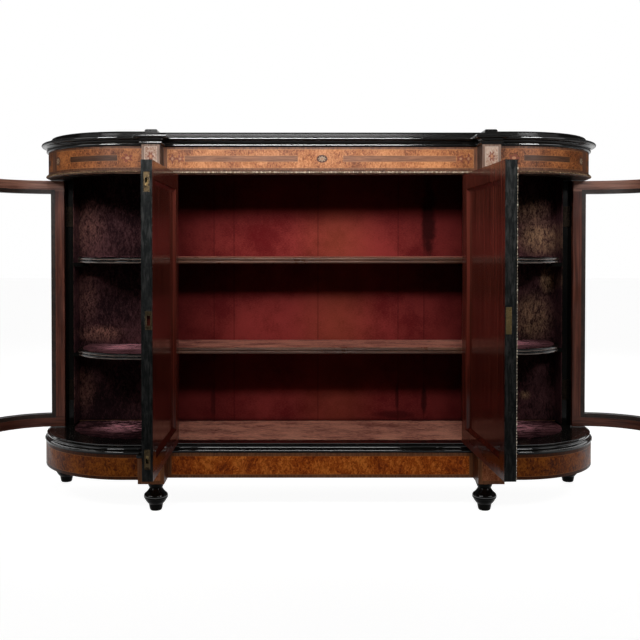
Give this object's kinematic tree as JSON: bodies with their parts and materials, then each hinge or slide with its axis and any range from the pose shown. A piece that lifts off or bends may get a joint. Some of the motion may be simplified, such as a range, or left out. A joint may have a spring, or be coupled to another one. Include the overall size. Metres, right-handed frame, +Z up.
{
  "type": "breakfront credenza",
  "caption": "Ebonised and burr-veneered breakfront credenza with panelled centre doors, curved glazed end doors, lined shelves and turned feet.",
  "frame": {"origin": "on the floor, midway between the ends, 135 mm behind the centre frieze face", "axes": "+X to the right along the front, +Y from the front to the back, +Z up"},
  "size_m": [2.082, 0.7842, 1.078],
  "materials": {
    "ebonised": "worn satin black polish",
    "burr_veneer": "french polished burr with crossbanding and light stringing",
    "mahogany": "satin polish",
    "carcass_wood": "plain, unpolished",
    "red_cloth": "worn woven cloth",
    "velvet": "crushed velvet",
    "brass": "aged, brushed",
    "gilt": "worn gilding",
    "glass": "clear, curved"
  },
  "bodies": {
    "carcass": {"back_boards": "carcass_wood", "back_cloth": "red_cloth", "base_moulding": "ebonised", "bottom_board": "carcass_wood", "center_cloths": "red_cloth", "center_shelf_lower": "ebonised", "center_shelf_upper": "ebonised", "end_shelves_left": "ebonised", "end_shelves_right": "ebonised", "foot_front_left": "ebonised", "foot_front_right": "ebonised", "foot_rear_left": "ebonised", "foot_rear_right": "ebonised", "frieze_bead": "gilt", "frieze_blocks": "burr_veneer", "frieze_center": "burr_veneer", "frieze_end_left": "burr_veneer", "frieze_end_right": "burr_veneer", "hinge_jamb_leaves": "brass", "hinge_pins": "brass", "partition_left": "ebonised", "partition_right": "ebonised", "pilaster_left": "ebonised", "pilaster_right": "ebonised", "plinth_back_rail": "carcass_wood", "plinth_blocks": "burr_veneer", "plinth_center": "burr_veneer", "plinth_corner_blocks": "carcass_wood", "plinth_end_left": "burr_veneer", "plinth_end_right": "burr_veneer", "rear_posts": "ebonised", "shelf_bearers": "carcass_wood", "top_board": "ebonised", "top_moulding": "ebonised", "velvet_backs": "velvet", "velvet_mats": "velvet"},
    "left_door": {"left_door_stiles": "mahogany", "left_door_rails": "mahogany", "left_door_panel": "burr_veneer", "left_door_mouldings": "mahogany", "left_door_hinge_leaves": "brass", "left_door_plates": "brass"},
    "right_door": {"right_door_stiles": "mahogany", "right_door_rails": "mahogany", "right_door_panel": "burr_veneer", "right_door_mouldings": "mahogany", "right_door_hinge_leaves": "brass", "right_door_lock": "brass", "right_door_bead": "gilt"},
    "left_end_door": {"left_end_door_frame": "mahogany", "left_end_door_glass": "glass", "left_end_door_fillets": "mahogany", "left_end_door_hinge_leaves": "brass"},
    "right_end_door": {"right_end_door_frame": "mahogany", "right_end_door_glass": "glass", "right_end_door_fillets": "mahogany", "right_end_door_hinge_leaves": "brass"},
    "top_flush_bolt": {"left_bolt_top": "brass"},
    "bottom_flush_bolt": {"left_bolt_bottom": "brass"},
    "lock_bolt": {"right_lock_bolt": "brass"}
  },
  "joints": [
    {"name": "left_door_swing", "type": "hinge", "parent": "carcass", "child": "left_door", "pos_m": [-0.435, -0.129, 0.576], "axis": [0, 0, 1], "range_deg": [-6.3, 90.7]},
    {"name": "right_door_swing", "type": "hinge", "parent": "carcass", "child": "right_door", "pos_m": [0.435, -0.129, 0.576], "axis": [0, 0, 1], "range_deg": [-92.4, 4.6]},
    {"name": "left_end_door_swing", "type": "hinge", "parent": "carcass", "child": "left_end_door", "pos_m": [-0.784, 0.1175, 0.576], "axis": [0, 0, 1], "range_deg": [-17, 93]},
    {"name": "right_end_door_swing", "type": "hinge", "parent": "carcass", "child": "right_end_door", "pos_m": [0.784, 0.1175, 0.576], "axis": [0, 0, 1], "range_deg": [-100, 10]},
    {"name": "top_bolt_slide", "type": "slide", "parent": "left_door", "child": "top_flush_bolt", "axis": [0, 0, 1], "range_m": [0, 0.012]},
    {"name": "bottom_bolt_slide", "type": "slide", "parent": "left_door", "child": "bottom_flush_bolt", "axis": [0, 0, -1], "range_m": [0, 0.012]},
    {"name": "lock_bolt_slide", "type": "slide", "parent": "right_door", "child": "lock_bolt", "axis": [0.0419, -0.9991, 0], "range_m": [0, 0.008]}
  ]
}
